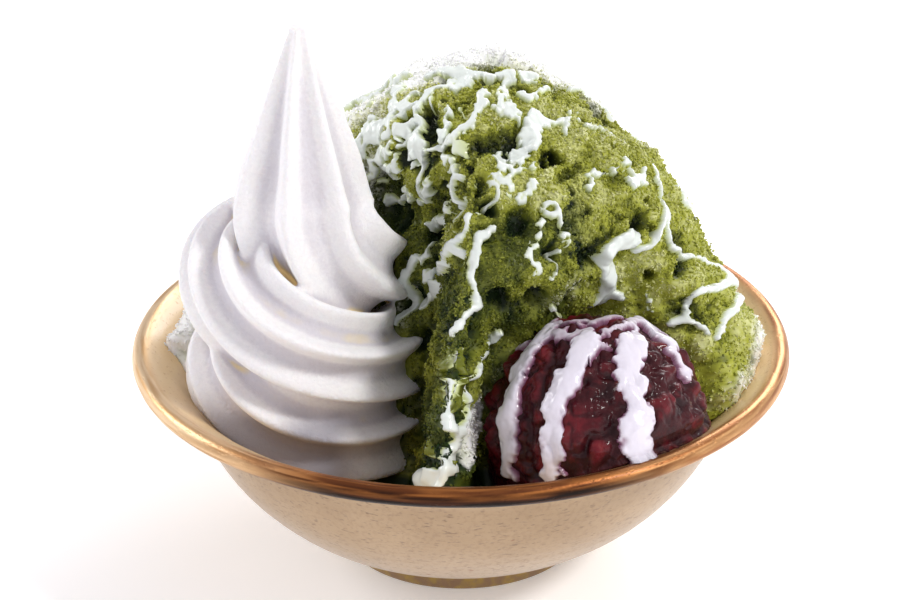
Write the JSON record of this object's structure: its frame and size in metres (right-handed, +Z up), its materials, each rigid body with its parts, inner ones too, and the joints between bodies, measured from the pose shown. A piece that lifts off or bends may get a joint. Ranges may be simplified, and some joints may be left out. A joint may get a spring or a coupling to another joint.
{
  "type": "kakigori",
  "caption": "Footed stoneware bowl heaped with green shaved ice, a soft-serve swirl and a scoop of sweet red beans under drizzled condensed milk.",
  "frame": {"origin": "centre of the foot ring's underside, on the surface the bowl stands on", "axes": "+Z up along the bowl's axis; -Y towards the front, where the soft serve and the beans stand; +X to the right seen from the front"},
  "size_m": [0.176, 0.176, 0.1531],
  "materials": {
    "bowl_glaze": "sand-beige satin glaze outside with fine dark pits, warmer golden glaze inside, copper-brown rolled lip, unglazed brown foot",
    "ice": "coarse wet shaved ice soaked with green tea syrup, olive in the hollows, yellow-green on the clumps, white where the syrup has not run",
    "soft_serve": "cold white vanilla soft serve, satin with a fine icy grain and cool grey shadows",
    "bean_paste": "glossy dark wine-red bean paste with whole and broken beans",
    "milk": "thick glossy condensed milk, cool white"
  },
  "bodies": {
    "root": {"bowl": "bowl_glaze", "shaved_ice": "ice", "soft_serve": "soft_serve", "bean_paste": "bean_paste"}
  },
  "joints": []
}
